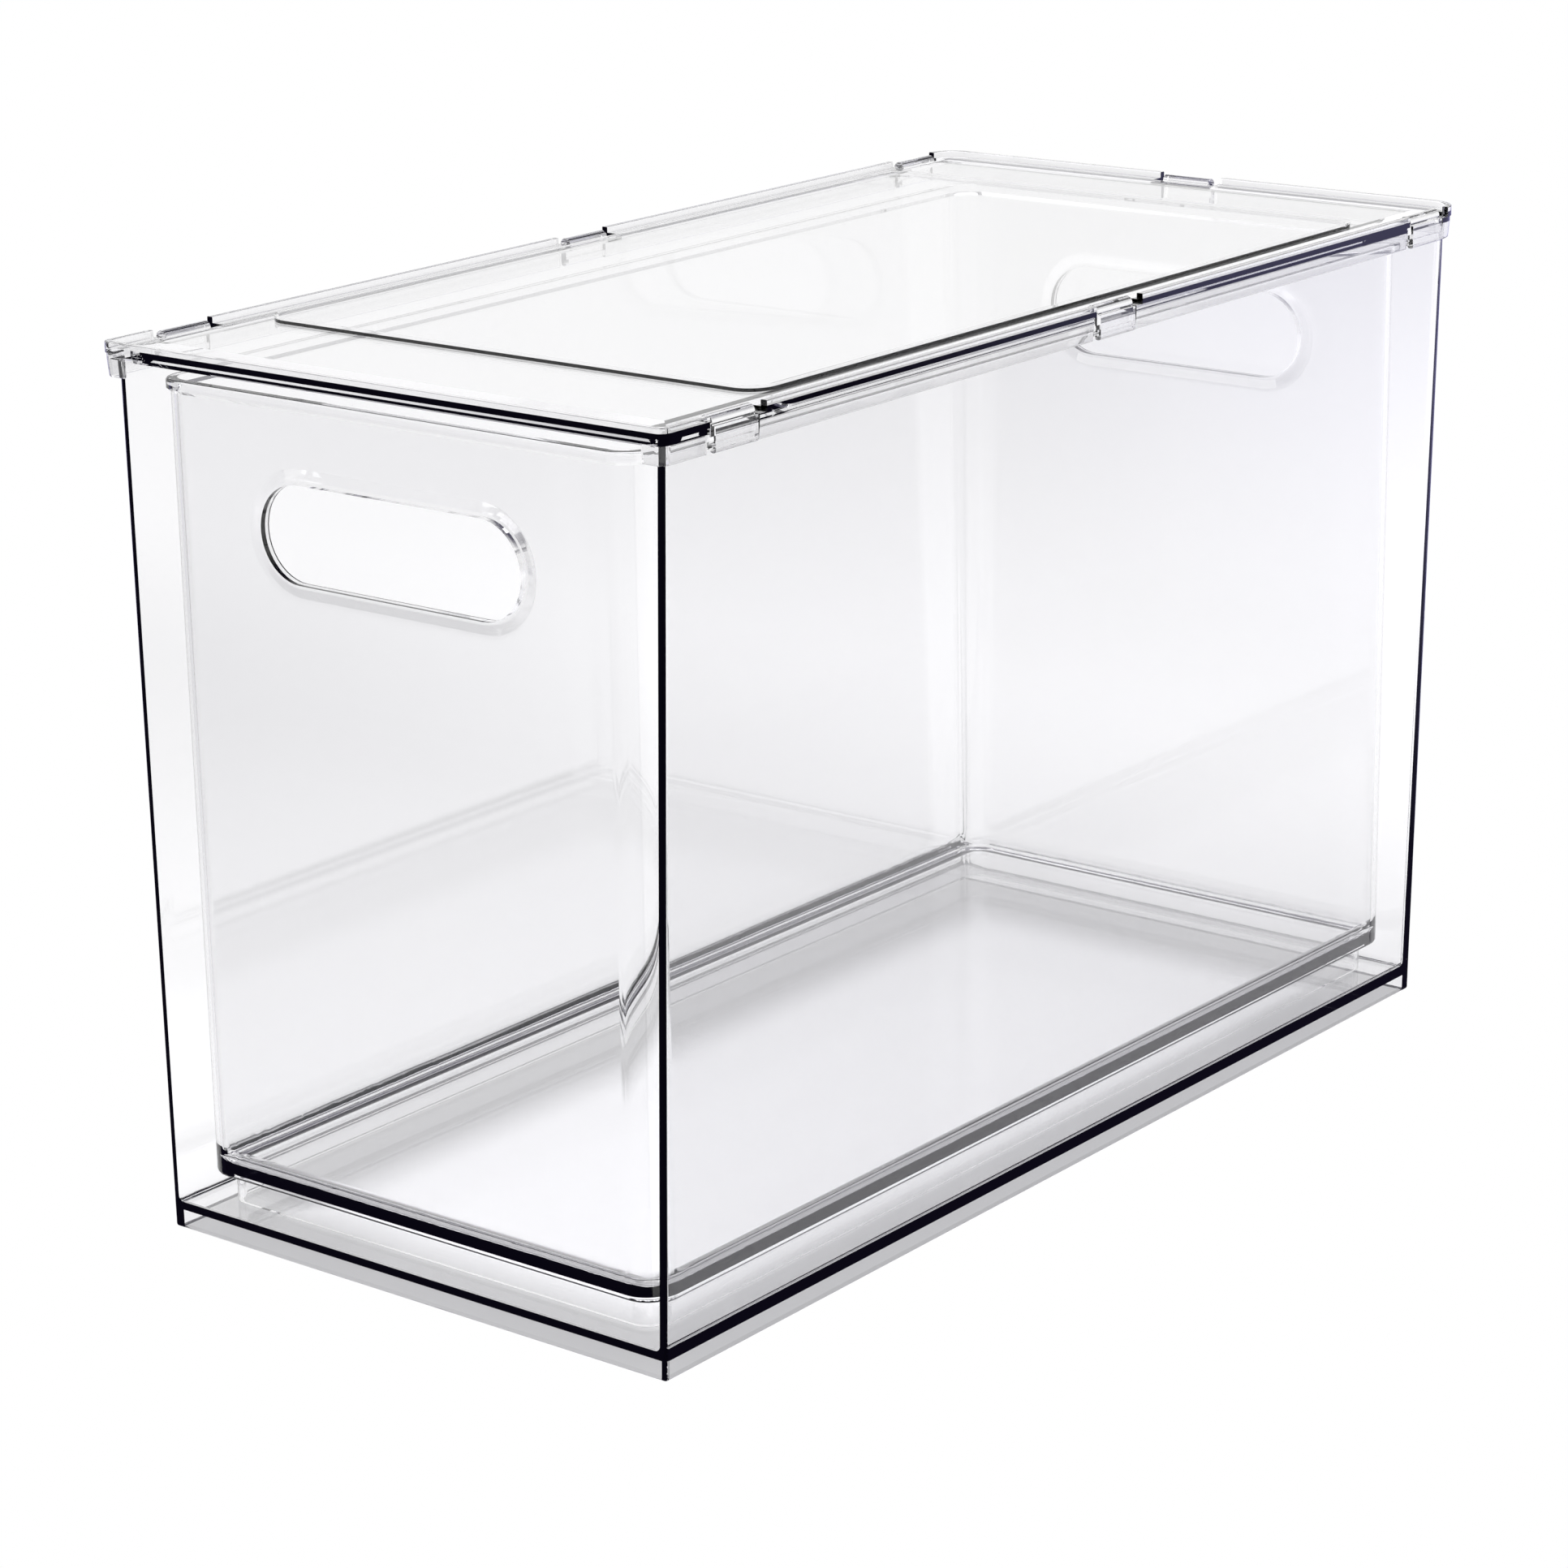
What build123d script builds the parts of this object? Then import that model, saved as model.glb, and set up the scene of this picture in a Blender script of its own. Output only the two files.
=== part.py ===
from build123d import *
import os

# A clear stacking drawer unit in three mouldings: a housing that is open at the front and
# the top, a skirted cover that closes it, and a drawer that slides in it. Seven spring
# clips stand in windows of the cover's rim. Millimetres, +Z up, front at -Y, origin under
# the middle.

# Overall sizes
cover_width = 204.4
cover_depth = 399.3
total_height = 264.6

# Cover plate, lip and raised panel
lip_height = 1.8
lip_width = 2.1
lip_edge_round = 0.35
plate_thickness = 1.4
front_corner_radius = 3.5
back_corner_radius = 10.0
panel_half_width = 90.5
panel_front = -147.1
panel_back = 156.4
panel_height = 0.8
panel_corner_radius = 8.5
panel_rib_width = 1.2
panel_rib_height = 1.6

# Cover rim, below the plate
rim_thickness = 1.9
rim_inset = 0.4
rim_flat_width = 5.0
front_rim_width = 8.0
rim_slope_width = 7.5
skirt_drop = 5.1
skirt_thickness = 1.7
skirt_taper = 0.5
skirt_tip_round = 0.5
return_width = 7.9

# Housing
base_width = 188.0
base_front = -198.6
base_back = 191.5
wall_top_width = 198.2
wall_top_front = -195.6
wall_top_back = 196.5
wall = 2.2
foot_height = 5.2
foot_wall = 2.6
floor_thickness = 3.2
floor_fillet = 1.8
front_upright_round = 1.0
back_upright_rounds = (1.0, 5.0)
inner_upright_rounds = (2.2, 3.0)
foot_edge_round = 0.9

# Clips and their windows
plate_window_length = 23.4
rim_window_length = 21.5
window_stagger = 0.8
window_depth = 6.7
clip_length = 17.6
clip_thickness = 2.0
clip_tip_round = 0.8
clip_top = 262.2
head_offset = 1.1
head_width = 3.9
head_height = 2.3
head_base = 262.0
clip_root_rise = 0.8
clip_root_height = 1.8
side_clip_places = {"front": -169.9, "middle": 4.4, "rear": 177.8}

# Drawer
drawer_width = 172.4
drawer_front = -193.8
drawer_back = 187.9
drawer_top = 255.0
drawer_bottom = 17.5
drawer_wall = 2.0
drawer_floor = 3.0
drawer_corner_radius = 9.0
drawer_floor_fillet = 6.0
drawer_edge_round = 1.3
drawer_draft = 0.4
bead_height = 2.7
bead_extra = 0.9
bead_slope = 1.6
bead_round = 0.8
drawer_foot_inset = 4.9
drawer_foot_wall = 2.0
slot_width = 95.4
slot_height = 28.4
slot_centre = 217.0
slot_swell_width = 4.4
slot_swell_height = 0.6
slot_land = 0.8

# Air between pieces that rest on each other, and how far joined shapes run together
seat_gap = 0.1
overlap = 0.5
cut_margin = 1.0

# Levels and limits worked out from the sizes above
plate_top = total_height - lip_height
plate_bottom = plate_top - plate_thickness
rim_bottom = plate_bottom - rim_thickness
skirt_bottom = rim_bottom - skirt_drop
wall_top = rim_bottom - seat_gap
floor_top = foot_height + floor_thickness
half_width = cover_width / 2
cover_front = -cover_depth / 2
cover_back = cover_depth / 2


def block(x0, x1, y0, y1, z0, z1):
    """A box between two corners."""
    box = Box(x1 - x0, y1 - y0, z1 - z0)
    return Pos((x0 + x1) / 2, (y0 + y1) / 2, (z0 + z1) / 2) * box


def rectangle_at(half, front, back, z):
    """A flat rectangle at height z."""
    plane = Plane.XY.offset(z)
    return plane * Pos(0, (front + back) / 2) * Rectangle(2 * half, back - front)


def at_height(z, low, high):
    """The value at height z of a size that grows evenly from the base to the wall top."""
    return low + (high - low) * z / wall_top


def tapered(z0, z1, inset, front_reach=0.0, front_round=None, back_rounds=None):
    """The housing's shape between two heights, drawn in by inset on each side.

    The upright edges at the back grow from a small round at the base to a large one."""
    faces = []
    for z in (z0, z1):
        half = at_height(z, base_width, wall_top_width) / 2 - inset
        front = at_height(z, base_front, wall_top_front) + inset - front_reach
        back = at_height(z, base_back, wall_top_back) - inset
        face = rectangle_at(half, front, back, z)
        if front_round:
            face = fillet([v for v in face.vertices() if v.Y < 0], front_round)
        if back_rounds:
            corners = [v for v in face.vertices() if v.Y > back - 0.01]
            face = fillet(corners, at_height(z, *back_rounds))
        faces.append(face)
    return loft(faces, ruled=True)


def edges_at_level(shape, z):
    """The edges that lie flat at height z."""
    level = shape.edges().filter_by(Plane.XY)
    return [e for e in level if abs(e.center().Z - z) < 0.01]


def outline(inset):
    """The cover's outline: small front corners and large back corners."""
    half = half_width - inset
    front = cover_front + inset
    back = cover_back - inset
    face = Pos(0, (front + back) / 2) * Rectangle(2 * half, back - front)
    face = fillet([v for v in face.vertices() if v.Y < 0], front_corner_radius - inset)
    back_corners = [v for v in face.vertices() if v.Y > back - 0.01]
    return fillet(back_corners, back_corner_radius - inset)


def outline_slab(z0, z1, inset):
    return Pos(0, 0, z0) * extrude(outline(inset), z1 - z0)


def clip_places():
    """Name, centre of the outer face and turn about Z for each clip."""
    places = []
    for row, y in side_clip_places.items():
        places.append(("clip_left_" + row, Location((-half_width, y, 0), (0, 0, 180))))
        places.append(("clip_right_" + row, Location((half_width, y, 0), (0, 0, 0))))
    places.append(("clip_back", Location((0, cover_back, 0), (0, 0, 90))))
    return places


def window(place, shift, length, z0, z1):
    """The space of one clip window; windows on the long sides are shifted along the side."""
    along = shift if abs(place.position.X) > 0.01 else 0.0
    space = block(-window_depth, cut_margin, -length / 2, length / 2, z0, z1)
    return Pos(0, along, 0) * (place * space)


def make_plate():
    """The flat plate with its lip and the raised panel, hollow from below."""
    plate = outline_slab(plate_bottom, plate_top, 0)
    lip = outline_slab(plate_top, total_height, 0) - outline_slab(plate_top, total_height, lip_width)
    lip = fillet(edges_at_level(lip, total_height), lip_edge_round)

    middle = (panel_front + panel_back) / 2
    width = 2 * panel_half_width
    depth = panel_back - panel_front
    panel = RectangleRounded(width, depth, panel_corner_radius)
    inside_rib = offset(panel, -panel_rib_width)
    inside_wall = offset(panel, -plate_thickness)
    raised = Pos(0, middle, plate_top) * extrude(panel, panel_height)
    rib = Pos(0, middle, plate_top) * extrude(panel - inside_rib, panel_rib_height)
    hollow = Pos(0, middle, plate_bottom) * extrude(inside_wall, panel_height)
    return plate + lip + raised + rib - hollow


def make_rim():
    """The solid rim under the plate's edge, sloped inside, and the skirt that hangs from it."""
    half = half_width - rim_flat_width
    front = cover_front + front_rim_width
    back = cover_back - rim_flat_width
    slope = rim_slope_width
    wide = rectangle_at(half, front, back, rim_bottom)
    narrow = rectangle_at(half - slope, front + slope, back - slope, plate_bottom)
    rim = outline_slab(rim_bottom, plate_bottom, rim_inset) - loft([wide, narrow])

    tip = Plane.XY.offset(skirt_bottom) * outline(rim_inset + skirt_taper)
    root = Plane.XY.offset(rim_bottom) * outline(rim_inset)
    skirt = loft([tip, root], ruled=True)
    skirt -= outline_slab(skirt_bottom, rim_bottom, rim_inset + skirt_thickness)
    skirt = fillet(edges_at_level(skirt, skirt_bottom), skirt_tip_round)
    gap_half = half_width - return_width
    behind_returns = cover_front + front_rim_width
    skirt -= block(-gap_half, gap_half, cover_front, behind_returns, skirt_bottom, rim_bottom)
    return rim + skirt


def make_cover():
    cover = make_plate() + make_rim()
    for _, place in clip_places():
        cover -= window(place, window_stagger, plate_window_length,
                        plate_bottom, total_height + cut_margin)
        cover -= window(place, -window_stagger, rim_window_length,
                        skirt_bottom - cut_margin, plate_bottom)
    return cover


def make_housing():
    shell = tapered(0, wall_top, 0, front_round=front_upright_round, back_rounds=back_upright_rounds)
    shell = fillet(edges_at_level(shell, 0), foot_edge_round)

    room = tapered(floor_top, wall_top + cut_margin, wall, back_rounds=inner_upright_rounds)
    room = fillet(edges_at_level(room, floor_top), floor_fillet)

    mouth_back = base_front + front_rim_width + overlap
    mouth = block(-half_width, half_width, cover_front - cut_margin, mouth_back,
                  floor_top, wall_top + cut_margin)
    mouth &= tapered(floor_top, wall_top + cut_margin, wall, front_reach=2 * front_rim_width)
    mouth_low = [e for e in edges_at_level(mouth, floor_top) if abs(e.center().X) > half_width / 2]
    mouth = fillet(mouth_low, floor_fillet)

    under_foot = tapered(-cut_margin, foot_height, foot_wall)
    return shell - room - mouth - under_foot


def make_clip(place):
    """A springy tongue with a half-round head, drawn with its outer face at x = 0."""
    tongue = block(-clip_thickness, 0, 0, clip_length, skirt_bottom, head_base - overlap)
    tips = [e for e in edges_at_level(tongue, skirt_bottom) if e.length > clip_thickness + overlap]
    tongue = fillet(tips, clip_tip_round)
    neck = block(-clip_thickness, -head_offset, 0, clip_length, head_base - 2 * overlap, clip_top)

    root_low = skirt_bottom + clip_root_rise
    root_depth = half_width - wall_top_width / 2 - seat_gap
    root_high = root_low + clip_root_height
    root = block(-root_depth, overlap - clip_thickness, 0, clip_length, root_low, root_high)

    inner = -head_offset - head_width
    outer = -head_offset
    crown = ((inner + outer) / 2, 0, head_base + head_height)
    arc = ThreePointArc((inner, 0, head_base), crown, (outer, 0, head_base))
    flat = Line((outer, 0, head_base), (inner, 0, head_base))
    head = extrude(make_face([arc, flat]), amount=clip_length, dir=(0, 1, 0))
    return place * Pos(0, -clip_length / 2, 0) * (tongue + neck + root + head)


def drawer_outline(z, grow, radius):
    """The drawer's rounded outline at height z, grown on every side."""
    width = drawer_width + 2 * grow
    depth = drawer_back - drawer_front + 2 * grow
    place = Plane.XY.offset(z) * Pos(0, (drawer_front + drawer_back) / 2)
    return place * RectangleRounded(width, depth, radius)


def slot_at(y, grow):
    """The hand slot's outline in the upright plane at depth y, grown on every side."""
    plane = Plane(origin=(0, y, slot_centre), x_dir=(1, 0, 0), z_dir=(0, 1, 0))
    return plane * SlotOverall(slot_width + 2 * grow, slot_height + 2 * grow)


def slot_swell(outer_face, outward):
    """The smooth thickening of one end wall around its hand slot."""
    middle = outer_face - outward * drawer_wall / 2
    reach = drawer_wall / 2 + slot_swell_height
    spread = (slot_swell_width - slot_land) * reach / slot_swell_height
    swell = None
    for side in (-1, 1):
        wide = slot_at(middle, slot_land + spread)
        narrow = slot_at(middle + side * reach, slot_land)
        half = loft([wide, narrow], ruled=True)
        swell = half if swell is None else swell + half
    depth = reach + cut_margin
    hole = extrude(slot_at(middle, 0), depth, both=True)
    opening = extrude(slot_at(middle, slot_land), depth, both=True)
    return swell - hole, opening


def make_drawer():
    low = drawer_outline(drawer_bottom, -drawer_draft, drawer_corner_radius)
    high = drawer_outline(drawer_top, 0, drawer_corner_radius)
    body = loft([low, high], ruled=True)
    body = fillet(edges_at_level(body, drawer_bottom), drawer_edge_round)

    room_floor = drawer_bottom + drawer_floor
    radius = drawer_corner_radius - drawer_wall
    low = drawer_outline(room_floor, -drawer_draft - drawer_wall, radius)
    high = drawer_outline(drawer_top, -drawer_wall, radius)
    room = loft([low, high], ruled=True)
    room = fillet(edges_at_level(room, room_floor), drawer_floor_fillet)

    bead_bottom = drawer_top - bead_height
    bead = loft([drawer_outline(bead_bottom - bead_slope, -overlap, drawer_corner_radius),
                 drawer_outline(bead_bottom, bead_extra, drawer_corner_radius),
                 drawer_outline(drawer_top, bead_extra, drawer_corner_radius)], ruled=True)
    bead = fillet(edges_at_level(bead, drawer_top), bead_round)

    foot_bottom = floor_top + seat_gap
    foot_radius = drawer_corner_radius - drawer_foot_wall
    foot_outer = drawer_outline(foot_bottom, -drawer_foot_inset, foot_radius)
    foot_inner = drawer_outline(foot_bottom, -drawer_foot_inset - drawer_foot_wall,
                                foot_radius - drawer_foot_wall)
    foot = extrude(foot_outer - foot_inner, drawer_bottom - foot_bottom + overlap)

    drawer = body + bead + foot - room
    for outer_face, outward in ((drawer_front, -1), (drawer_back, 1)):
        collar, opening = slot_swell(outer_face, outward)
        drawer = drawer - opening + collar
    return drawer


def write(shape, node):
    export_step(shape, "parts/" + node + ".step")


os.makedirs("parts", exist_ok=True)
write(make_housing(), "housing")
write(make_cover(), "cover")
write(make_drawer(), "drawer")
for clip_name, clip_place in clip_places():
    write(make_clip(clip_place), clip_name)
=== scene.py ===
import math

import bpy
from mathutils import Matrix, Vector


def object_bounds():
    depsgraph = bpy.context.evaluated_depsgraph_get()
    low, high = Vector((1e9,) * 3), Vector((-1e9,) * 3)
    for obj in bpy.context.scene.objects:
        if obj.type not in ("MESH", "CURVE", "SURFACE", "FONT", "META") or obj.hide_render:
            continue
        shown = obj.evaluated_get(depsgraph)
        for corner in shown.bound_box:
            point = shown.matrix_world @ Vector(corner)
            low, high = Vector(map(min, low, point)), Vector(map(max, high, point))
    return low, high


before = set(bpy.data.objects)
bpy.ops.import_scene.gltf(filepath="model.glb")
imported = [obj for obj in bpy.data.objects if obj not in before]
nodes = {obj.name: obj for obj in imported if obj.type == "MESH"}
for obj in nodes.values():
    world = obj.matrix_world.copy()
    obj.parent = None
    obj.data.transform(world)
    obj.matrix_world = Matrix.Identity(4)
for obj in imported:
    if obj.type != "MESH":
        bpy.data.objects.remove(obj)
cadLow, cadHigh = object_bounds()
print("frame loaded with", len(nodes), "moulded pieces")


# helpers for colours and node trees

mmPerMetre = 1000.0


def linearColour(hexCode):
    # sRGB hex to the linear values that shaders use
    values = [int(hexCode[i:i + 2], 16) / 255 for i in (1, 3, 5)]
    linear = [v / 12.92 if v <= 0.04045 else ((v + 0.055) / 1.055) ** 2.4 for v in values]
    return (*linear, 1.0)


def addNode(tree, kind, settings=None, inputs=None, links=None):
    # one node, its settings, its fixed inputs and its links; an input goes by its name, or
    # by its number where several share a name
    node = tree.nodes.new(kind)
    for name, value in (settings or {}).items():
        setattr(node, name, value)
    for name, value in (inputs or {}).items():
        node.inputs[name].default_value = value
    for name, socket in (links or {}).items():
        tree.links.new(socket, node.inputs[name])
    return node


def mixColours(tree, low, high, share):
    # a blend from one colour to another, driven by a socket that runs from 0 to 1; the mix
    # node has its share at input 0, its colours at 6 and 7, and their blend at output 2
    blend = addNode(tree, "ShaderNodeMix", {"data_type": "RGBA"},
                    {6: linearColour(low), 7: linearColour(high)}, {0: share})
    return blend.outputs[2]


def emptyMaterial(name):
    material = bpy.data.materials.new(name)
    material.use_nodes = True
    material.node_tree.nodes.clear()
    return material


# clear plastic

clearPlastic = {
    "ior": 1.57,
    "tint": "#ffffff",
    "roughness": 0.0,
    "shadowTint": "#f2f2f4",
    "absorb": "#5c5674",      # the grey violet that a long way through it leaves
    "absorbDensity": 8.0,
    "flowSpacing": 60.0,      # mm between the slow swells of the moulded wall
    "flowDepth": 0.004,       # mm
    "flowDetail": 1.0,
    "flowRoughness": 0.4,
}


def injectionMouldedClearPolystyrene(name, look):
    # general purpose polystyrene out of a polished mould: crystal clear face on, slow
    # swells that wobble what is seen through it, and violet grey from its own absorption where
    # seen along a wall; the deep dark of its edges is painted shade from the floor and room
    material = emptyMaterial(name)
    tree = material.node_tree
    place = addNode(tree, "ShaderNodeTexCoord")
    swell = addNode(tree, "ShaderNodeTexNoise",
                    inputs={"Scale": mmPerMetre / look["flowSpacing"],
                            "Detail": look["flowDetail"], "Roughness": look["flowRoughness"]},
                    links={"Vector": place.outputs["Object"]})
    wobble = addNode(tree, "ShaderNodeBump",
                     inputs={"Strength": 1.0, "Distance": look["flowDepth"] / mmPerMetre},
                     links={"Height": swell.outputs["Fac"]})
    body = addNode(tree, "ShaderNodeBsdfPrincipled",
                   inputs={"Base Color": linearColour(look["tint"]), "Roughness": look["roughness"],
                           "IOR": look["ior"], "Transmission Weight": 1.0},
                   links={"Normal": wobble.outputs["Normal"]})
    passing = addNode(tree, "ShaderNodeBsdfTransparent",
                      inputs={"Color": linearColour(look["shadowTint"])})
    path = addNode(tree, "ShaderNodeLightPath")
    mixed = addNode(tree, "ShaderNodeMixShader",
                    links={0: path.outputs["Is Shadow Ray"],
                           1: body.outputs["BSDF"], 2: passing.outputs["BSDF"]})
    depth = addNode(tree, "ShaderNodeVolumeAbsorption",
                    inputs={"Color": linearColour(look["absorb"]),
                            "Density": look["absorbDensity"]})
    addNode(tree, "ShaderNodeOutputMaterial",
            links={"Surface": mixed.outputs["Shader"], "Volume": depth.outputs["Volume"]})
    return material


plasticFor = {}
for kind in ("housing", "cover", "drawer", "clip"):
    title = "injectionMouldedClearPolystyrene" + kind.capitalize()
    plasticFor[kind] = injectionMouldedClearPolystyrene(title, clearPlastic)
for name, piece in nodes.items():
    kind = "clip" if name.startswith("clip") else name
    piece.data.materials.clear()
    piece.data.materials.append(plasticFor[kind])
print("clear plastic on", ", ".join(sorted(nodes)))


# studio

studio = {
    "floorReach": 30.0,       # metres
    "floorDrop": 0.0002,      # air under the foot, in metres
    "openPaper": "#ffffff",   # the paper where nothing stands before it
    "paintedReflectionFront": "#3a3453",    # painted reflection of the floor in front: the dark of the room
    "paintedReflectionBack": "#b8b4ee",  # painted reflection of the floor behind
    "awayFromView": (-0.62, 0.78, 0.0),  # the way from front to behind
    "dimFrom": 0.12,          # metres that way, where the painted reflection starts to turn bright
    "dimTo": 0.45,            # and where it is fully bright
    "leftPaintedLight": 0.93,         # painted light on the paper, left and right of the unit
    "rightPaintedLight": 1.20,
    "toneFrom": -0.70,        # metres across, where it starts and stops changing
    "toneTo": 0.0,
    "behindPaintedLight": 1.13,       # how much brighter the painted light on the paper gets towards the back
    "behindFrom": 0.20,       # metres back, where it starts and stops changing
    "behindTo": 0.45,
    "paintedGlowShare": 0.62,         # share of the painted light that the paper gives off as its own glow, as if from behind it
    "underPaintedLight": 1.42,        # painted light on the paper under the unit, which shines into it from below
    "paintedFootShade": 0.56,        # painted shadow on the paper just inside the foot ring, against open paper
    "paintedFootShadeFull": 0.015,   # metres in from the outline, painted shadow as dark as that up to here
    "paintedFootShadeDepth": 0.045,  # metres in from the outline, and the painted shadow is bright again from here
    "footAcross": (-0.0940, 0.0940),  # the outline that the unit stands on, in metres
    "footAlong": (-0.1986, 0.1915),
    "paintedDeepShade": "#2b2640",   # painted shade, standing in for what is left of light that has run far inside the plastic
    "deepFrom": 11.0,         # bounces
    "deepTo": 16.0,
    "skyLow": "#ffffff",      # the lit walls of the room
    "skyHigh": "#2c2743",     # its dark ceiling
    "skyLowEnds": 0.42,       # sine of the height where the bright band starts to fall
    "skyHighStarts": 0.70,
    "topLight": {"size": 2.4, "place": (0.2, 0.2, 2.6), "power": 34.0},
    "sideLight": {"size": 1.2, "place": (-1.6, -0.4, 1.6), "power": 8.0},
}


def paintedDeepShadeShare(tree, path, look):
    # share of painted deep shade: 0 for light that crossed a few walls, 1 for light that was caught
    # inside one
    share = addNode(tree, "ShaderNodeMapRange",
                    inputs={"From Min": look["deepFrom"], "From Max": look["deepTo"]},
                    links={"Value": path.outputs["Ray Depth"]})
    return share.outputs["Result"]


def paintedFootShade(tree, parts, look):
    # painted light on the paper under the unit, and a painted shadow band just inside the outline
    # it stands on
    reach = []
    for axis, low, high in (("X", *look["footAcross"]), ("Y", *look["footAlong"])):
        shifted = addNode(tree, "ShaderNodeMath", {"operation": "SUBTRACT"},
                          {1: (low + high) / 2}, {0: parts.outputs[axis]})
        size = addNode(tree, "ShaderNodeMath", {"operation": "ABSOLUTE"},
                       links={0: shifted.outputs["Value"]})
        past = addNode(tree, "ShaderNodeMath", {"operation": "SUBTRACT"},
                       {1: (high - low) / 2}, {0: size.outputs["Value"]})
        reach.append(past.outputs["Value"])
    edge = addNode(tree, "ShaderNodeMath", {"operation": "MAXIMUM"},
                   links={0: reach[0], 1: reach[1]})
    # painted light inside the outline, falling to a painted shadow band near it
    inner = addNode(tree, "ShaderNodeMapRange", {"interpolation_type": "SMOOTHSTEP"},
                    {"From Min": -look["paintedFootShadeDepth"], "From Max": -look["paintedFootShadeFull"],
                     "To Min": look["underPaintedLight"], "To Max": look["paintedFootShade"]},
                    {"Value": edge.outputs["Value"]})
    outside = addNode(tree, "ShaderNodeMath", {"operation": "GREATER_THAN"},
                      {1: 0.0}, {0: edge.outputs["Value"]})
    shade = addNode(tree, "ShaderNodeMix", {"data_type": "FLOAT"},
                    {3: 1.0}, {0: outside.outputs["Value"], 2: inner.outputs["Result"]})
    return shade.outputs[0]


def whitePaperWithPaintedLight(name, look):
    # a sweep of matte white paper that burns out to clean white to the camera; where it is
    # looked at through the plastic it carries painted light and painted shade, partly as its own
    # glow, and to reflections it shows a painted reflection
    material = emptyMaterial(name)
    tree = material.node_tree
    place = addNode(tree, "ShaderNodeNewGeometry")
    parts = addNode(tree, "ShaderNodeSeparateXYZ", links={"Vector": place.outputs["Position"]})
    path = addNode(tree, "ShaderNodeLightPath")
    # painted light on the paper, brighter from left to right and towards the back
    paintedSideLight = addNode(tree, "ShaderNodeMapRange", {"interpolation_type": "SMOOTHSTEP"},
                   {"From Min": look["toneFrom"], "From Max": look["toneTo"],
                    "To Min": look["leftPaintedLight"], "To Max": look["rightPaintedLight"]},
                   {"Value": parts.outputs["X"]})
    behind = addNode(tree, "ShaderNodeVectorMath", {"operation": "DOT_PRODUCT"},
                     {1: look["awayFromView"]}, {0: place.outputs["Position"]})
    far = addNode(tree, "ShaderNodeMapRange", {"interpolation_type": "SMOOTHSTEP"},
                  {"From Min": look["dimFrom"], "From Max": look["dimTo"]},
                  {"Value": behind.outputs["Value"]})
    # painted reflection: reflections of the floor show a colour that is dark in front and bright
    # behind
    paintedReflection = mixColours(tree, look["paintedReflectionFront"], look["paintedReflectionBack"], far.outputs["Result"])
    rise = addNode(tree, "ShaderNodeMapRange", {"interpolation_type": "SMOOTHSTEP"},
                   {"From Min": look["behindFrom"], "From Max": look["behindTo"],
                    "To Min": 1.0, "To Max": look["behindPaintedLight"]},
                   {"Value": parts.outputs["Y"]})
    broad = addNode(tree, "ShaderNodeMath", {"operation": "MULTIPLY"},
                    links={0: paintedSideLight.outputs["Result"], 1: rise.outputs["Result"]})
    paintedPaperLight = addNode(tree, "ShaderNodeMath", {"operation": "MULTIPLY"},
                    links={0: broad.outputs["Value"], 1: paintedFootShade(tree, parts, look)})
    # the painted light is partly lit by the lamps and partly given off as the paper's own glow
    lit = addNode(tree, "ShaderNodeBsdfDiffuse", links={"Color": paintedPaperLight.outputs["Value"]})
    glow = addNode(tree, "ShaderNodeEmission", links={"Color": paintedPaperLight.outputs["Value"]})
    paintedLightMix = addNode(tree, "ShaderNodeMixShader", inputs={0: look["paintedGlowShare"]},
                     links={1: lit.outputs["BSDF"], 2: glow.outputs["Emission"]})
    clean = addNode(tree, "ShaderNodeEmission", inputs={"Color": linearColour(look["openPaper"])})
    paintedReflectionGlow = addNode(tree, "ShaderNodeEmission", links={"Color": paintedReflection})
    # painted deep shade for light that bounced many times
    paintedDeepDark = addNode(tree, "ShaderNodeEmission", inputs={"Color": linearColour(look["paintedDeepShade"])})
    seen = addNode(tree, "ShaderNodeMixShader",
                   links={0: path.outputs["Is Transmission Ray"],
                          1: paintedReflectionGlow.outputs["Emission"], 2: paintedLightMix.outputs["Shader"]})
    faded = addNode(tree, "ShaderNodeMixShader",
                    links={0: paintedDeepShadeShare(tree, path, look),
                           1: seen.outputs["Shader"], 2: paintedDeepDark.outputs["Emission"]})
    direct = addNode(tree, "ShaderNodeMixShader",
                     links={0: path.outputs["Is Camera Ray"],
                            1: faded.outputs["Shader"], 2: clean.outputs["Emission"]})
    addNode(tree, "ShaderNodeOutputMaterial", links={"Surface": direct.outputs["Shader"]})
    return material


def makeFloor(look):
    mesh = bpy.data.meshes.new("studioFloor")
    r, z = look["floorReach"], -look["floorDrop"]
    corners = [(-r, -r, z), (r, -r, z), (r, r, z), (-r, r, z)]
    mesh.from_pydata(corners, [], [(0, 1, 2, 3)])
    floor = bpy.data.objects.new("studioFloor", mesh)
    bpy.context.scene.collection.objects.link(floor)
    mesh.materials.append(whitePaperWithPaintedLight("whitePaperWithPaintedLight", look))


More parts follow.
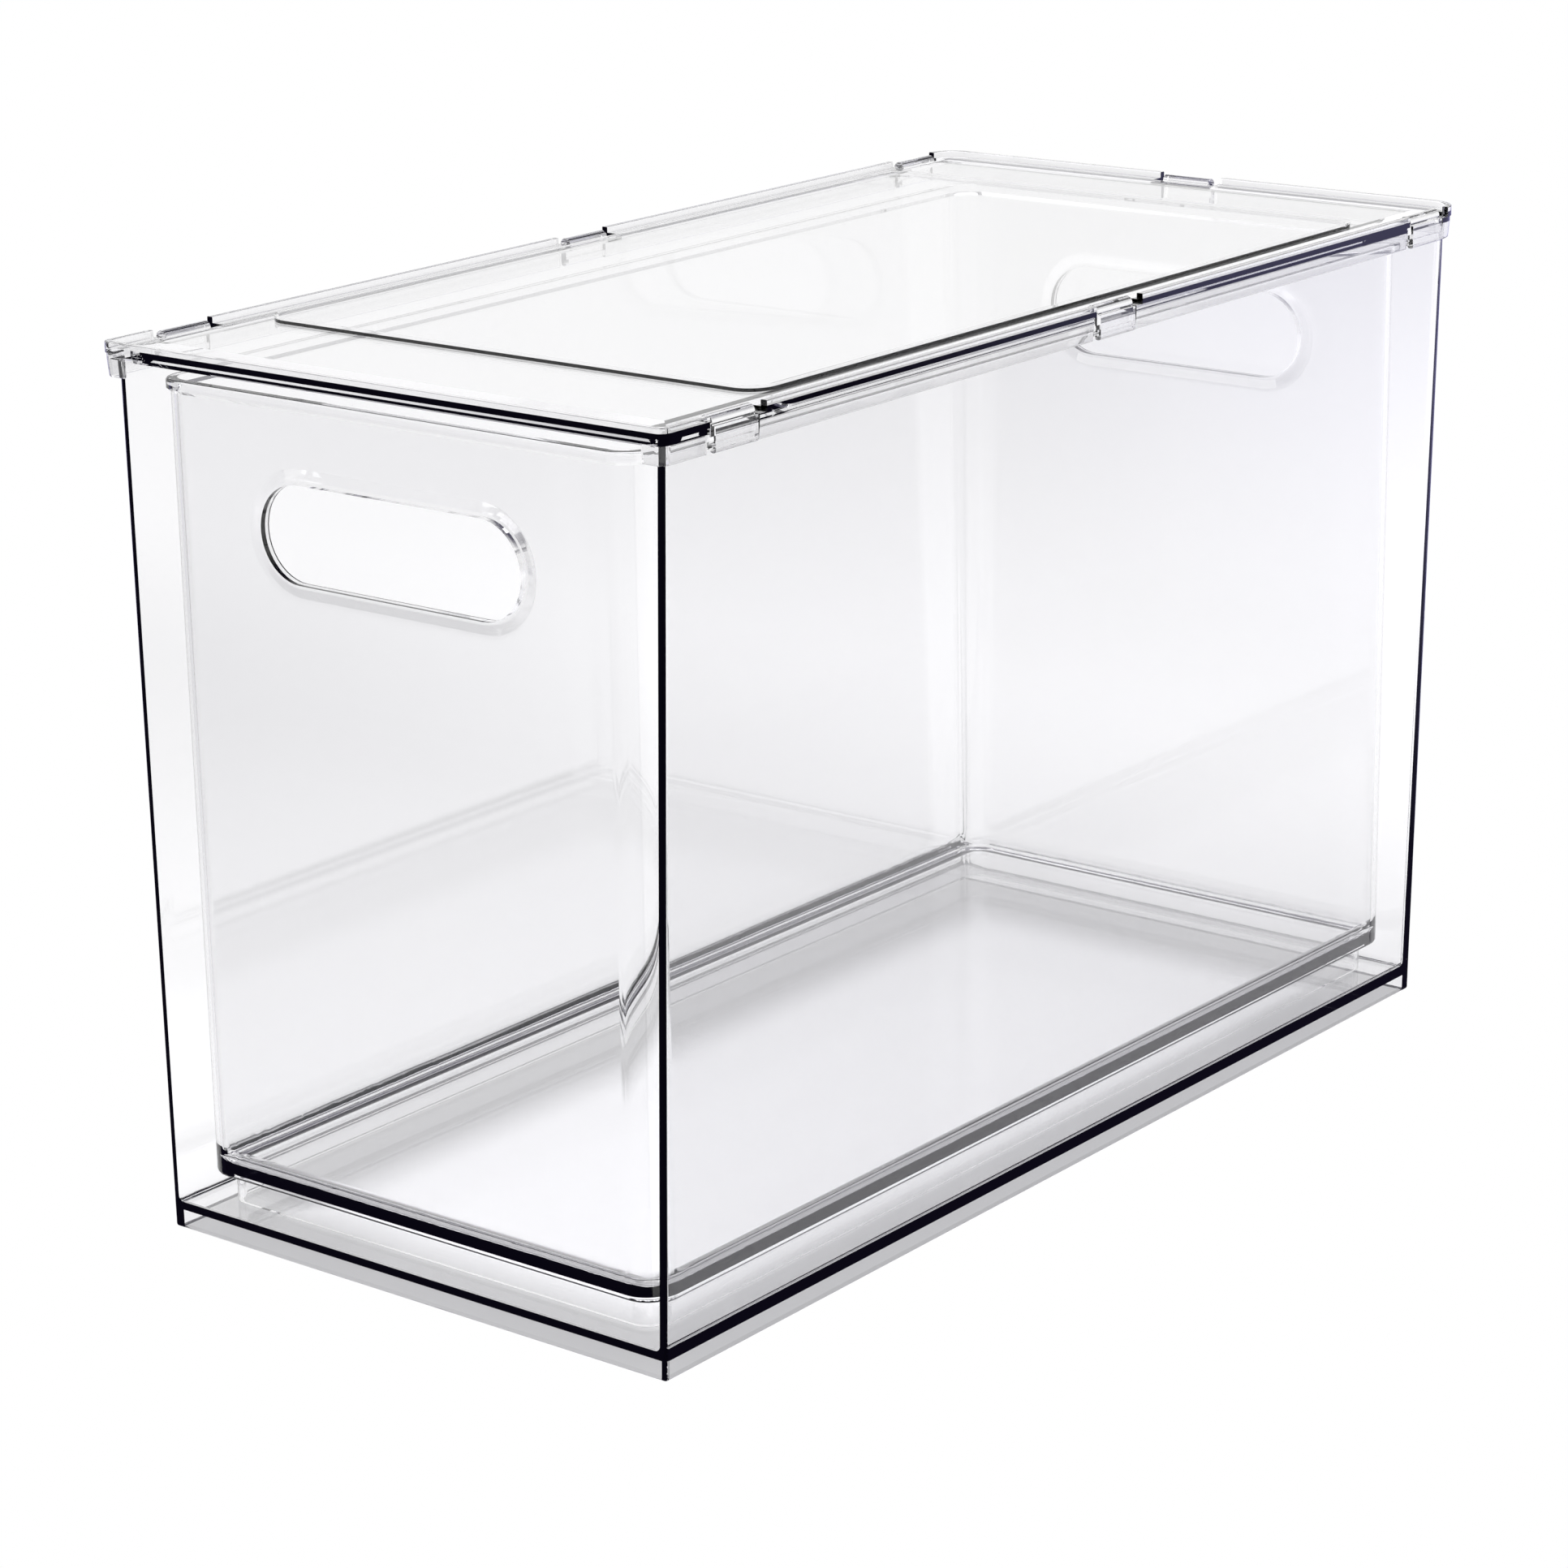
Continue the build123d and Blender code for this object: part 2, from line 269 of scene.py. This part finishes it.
def makeSky(look):
    world = bpy.data.worlds.new("studioRoom")
    bpy.context.scene.world = world
    world.use_nodes = True
    tree = world.node_tree
    tree.nodes.clear()
    place = addNode(tree, "ShaderNodeTexCoord")
    parts = addNode(tree, "ShaderNodeSeparateXYZ", links={"Vector": place.outputs["Generated"]})
    height = addNode(tree, "ShaderNodeMapRange",
                     inputs={"From Min": look["skyLowEnds"], "From Max": look["skyHighStarts"]},
                     links={"Value": parts.outputs["Z"]})
    shade = mixColours(tree, look["skyLow"], look["skyHigh"], height.outputs["Result"])
    glow = addNode(tree, "ShaderNodeBackground", links={"Color": shade})
    # painted deep shade for light that bounced many times
    paintedDeepDark = addNode(tree, "ShaderNodeBackground", inputs={"Color": linearColour(look["paintedDeepShade"])})
    path = addNode(tree, "ShaderNodeLightPath")
    faded = addNode(tree, "ShaderNodeMixShader",
                    links={0: paintedDeepShadeShare(tree, path, look),
                           1: glow.outputs["Background"], 2: paintedDeepDark.outputs["Background"]})
    addNode(tree, "ShaderNodeOutputWorld", links={"Surface": faded.outputs["Shader"]})


def makeSoftbox(name, look, aim):
    lamp = bpy.data.lights.new(name, "AREA")
    lamp.shape = "SQUARE"
    lamp.size = look["size"]
    lamp.energy = look["power"]
    box = bpy.data.objects.new(name, lamp)
    box.location = look["place"]
    box.rotation_mode = "QUATERNION"
    box.rotation_quaternion = (aim - box.location).to_track_quat("-Z", "Y")
    bpy.context.scene.collection.objects.link(box)


centre = (cadLow + cadHigh) / 2
makeFloor(studio)
makeSky(studio)
makeSoftbox("topLight", studio["topLight"], centre)
makeSoftbox("sideLight", studio["sideLight"], centre)
print("studio ready")


# camera

cameraLook = {
    "place": (0.815996, -1.051090, 0.510535),
    "azimuth": 38.481,        # degrees from straight on, towards the right side
    "elevation": 17.015,
    "roll": -1.006,
    "lens": 103.31,
    "sensor": 36.0,
}

# light needs many bounces to get through clear walls behind clear walls
bounceLimits = {
    "max_bounces": 32,
    "transmission_bounces": 32,
    "glossy_bounces": 8,
    "transparent_max_bounces": 32,
}


def makeCamera(look):
    data = bpy.data.cameras.new("studioCamera")
    data.lens = look["lens"]
    data.sensor_width = look["sensor"]
    camera = bpy.data.objects.new("studioCamera", data)
    bpy.context.scene.collection.objects.link(camera)
    a, e, roll = (math.radians(look[k]) for k in ("azimuth", "elevation", "roll"))
    back = Vector((math.sin(a) * math.cos(e), -math.cos(a) * math.cos(e), math.sin(e)))
    level = Vector((math.cos(a), math.sin(a), 0))
    rise = back.cross(level)
    right = level * math.cos(roll) + rise * math.sin(roll)
    up = rise * math.cos(roll) - level * math.sin(roll)
    turn = Matrix((right, up, back)).transposed().to_4x4()
    camera.matrix_world = Matrix.Translation(look["place"]) @ turn
    bpy.context.scene.camera = camera


makeCamera(cameraLook)
view = bpy.context.scene.view_settings
view.view_transform = "Standard"
paths = bpy.context.scene.cycles
for setting, count in bounceLimits.items():
    setattr(paths, setting, count)
print("camera ready")
